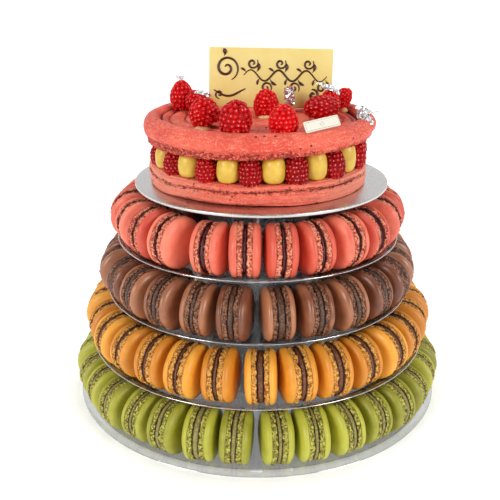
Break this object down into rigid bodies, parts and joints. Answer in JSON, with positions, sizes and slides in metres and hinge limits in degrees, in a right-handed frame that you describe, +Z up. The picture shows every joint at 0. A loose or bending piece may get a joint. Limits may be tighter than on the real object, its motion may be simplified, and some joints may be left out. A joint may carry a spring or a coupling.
{
  "type": "macaron tower",
  "caption": "Tiered clear stand with rings of upright macarons in one flavour a tier, under a large macaron cake with cream, raspberries, a plaque and a card.",
  "frame": {"origin": "centre of the bottom plate's underside, on the surface the tower stands on", "axes": "+Z up along the tower's axis; the front, which the plaque and the card face, is -Y; +X is to the right seen from the front"},
  "size_m": [0.3329, 0.3309, 0.2997],
  "materials": {
    "clear_plastic": "clear moulded plastic, smooth, slightly grey",
    "silver_card": "cake board covered in silver foil, softly reflecting",
    "coral_shell": "baked almond macaron shell, coral pink, with dark red jam between the shells",
    "chocolate_shell": "baked almond macaron shell, milk-chocolate brown, with ganache between the shells",
    "caramel_shell": "baked almond macaron shell, caramel orange, with brown ganache between the shells",
    "pistachio_shell": "baked almond macaron shell, pistachio green, with pale green filling between the shells",
    "cake_shell": "large piped and baked coral macaron shell, low sheen, rough at its foot",
    "cream": "piped yellow cream, soft sheen",
    "raspberry": "fresh raspberry, deep red, moist",
    "pale_chocolate": "cast white chocolate with dark piped ornament",
    "ivory_card": "stiff glossy card with a plain border"
  },
  "bodies": {
    "root": {"green_plate": "clear_plastic", "green_drum": "clear_plastic", "green_macarons_1": "pistachio_shell", "green_macarons_2": "pistachio_shell", "green_macarons_3": "pistachio_shell", "green_macarons_4": "pistachio_shell", "green_macarons_5": "pistachio_shell", "orange_plate": "clear_plastic", "orange_drum": "clear_plastic", "orange_macarons_1": "caramel_shell", "orange_macarons_2": "caramel_shell", "orange_macarons_3": "caramel_shell", "orange_macarons_4": "caramel_shell", "orange_macarons_5": "caramel_shell", "brown_plate": "clear_plastic", "brown_drum": "clear_plastic", "brown_macarons_1": "chocolate_shell", "brown_macarons_2": "chocolate_shell", "brown_macarons_3": "chocolate_shell", "brown_macarons_4": "chocolate_shell", "coral_plate": "clear_plastic", "coral_drum": "clear_plastic", "coral_macarons_1": "coral_shell", "coral_macarons_2": "coral_shell", "coral_macarons_3": "coral_shell", "coral_macarons_4": "coral_shell", "board": "silver_card", "lower_shell": "cake_shell", "cream_filling": "cream", "upper_shell": "cake_shell", "filling_berry_1": "raspberry", "filling_berry_2": "raspberry", "filling_berry_3": "raspberry", "filling_berry_4": "raspberry", "filling_berry_5": "raspberry", "filling_berry_6": "raspberry", "filling_berry_7": "raspberry", "filling_berry_8": "raspberry", "filling_berry_9": "raspberry", "filling_berry_10": "raspberry", "filling_berry_11": "raspberry", "filling_berry_12": "raspberry", "filling_berry_13": "raspberry", "filling_berry_14": "raspberry", "filling_berry_15": "raspberry", "top_berry_1": "raspberry", "top_berry_2": "raspberry", "top_berry_3": "raspberry", "top_berry_4": "raspberry", "top_berry_5": "raspberry", "top_berry_6": "raspberry", "top_berry_7": "raspberry", "top_berry_8": "raspberry", "top_berry_9": "raspberry", "plaque": "pale_chocolate", "card": "ivory_card"}
  },
  "joints": []
}
